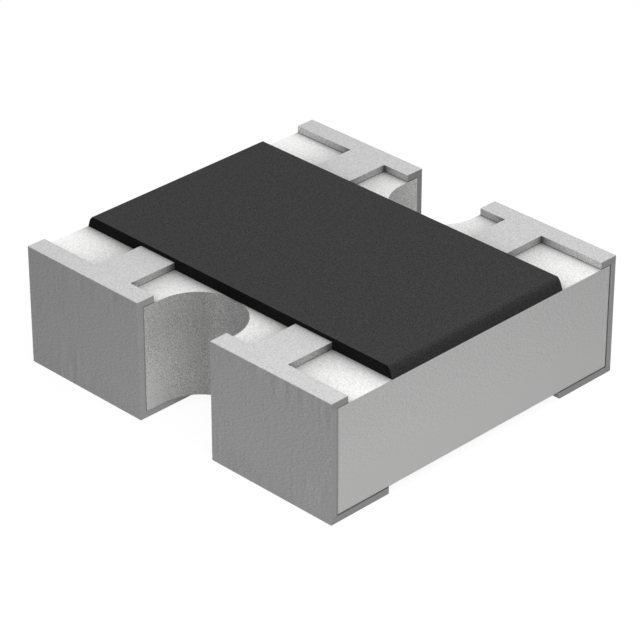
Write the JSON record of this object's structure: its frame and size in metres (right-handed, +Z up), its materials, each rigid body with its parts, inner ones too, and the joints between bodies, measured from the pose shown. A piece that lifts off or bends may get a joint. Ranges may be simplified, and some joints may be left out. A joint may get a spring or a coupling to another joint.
{
  "type": "resistor network",
  "caption": "Chip resistor network: flat ceramic block with round-ended side notches, wrap-around corner terminals with T-shaped tops, and a raised black overcoat.",
  "frame": {"origin": "middle of the plane of the four solder pads, at the bottom", "axes": "+X along a row of two terminals, +Y from the front terminal side to the back one, +Z up through the black overcoat"},
  "size_m": [0.0016, 0.0016, 0.0005],
  "materials": {
    "alumina": "matt, fine-grained, fired",
    "silver_film": "matt, printed and fired",
    "nickel": "satin, plated",
    "tin": "matt tin with fine vertical brush marks on the sides",
    "resistor_glaze": "matt, fired",
    "glass_film": "clear, fired",
    "black_overcoat": "satin, printed and cured"
  },
  "bodies": {
    "root": {"ceramic_substrate": "alumina", "upper_electrode_back_right": "silver_film", "upper_electrode_back_left": "silver_film", "upper_electrode_front_right": "silver_film", "upper_electrode_front_left": "silver_film", "lower_electrode_back_right": "silver_film", "lower_electrode_back_left": "silver_film", "lower_electrode_front_right": "silver_film", "lower_electrode_front_left": "silver_film", "edge_electrode_back_right": "silver_film", "edge_electrode_back_left": "silver_film", "edge_electrode_front_right": "silver_film", "edge_electrode_front_left": "silver_film", "nickel_barrier_back_right": "nickel", "nickel_barrier_back_left": "nickel", "nickel_barrier_front_right": "nickel", "nickel_barrier_front_left": "nickel", "tin_plating_back_right": "tin", "tin_plating_back_left": "tin", "tin_plating_front_right": "tin", "tin_plating_front_left": "tin", "resistor_film_right": "resistor_glaze", "resistor_film_left": "resistor_glaze", "glass_undercoat_right": "glass_film", "glass_undercoat_left": "glass_film", "overcoat": "black_overcoat"}
  },
  "joints": []
}
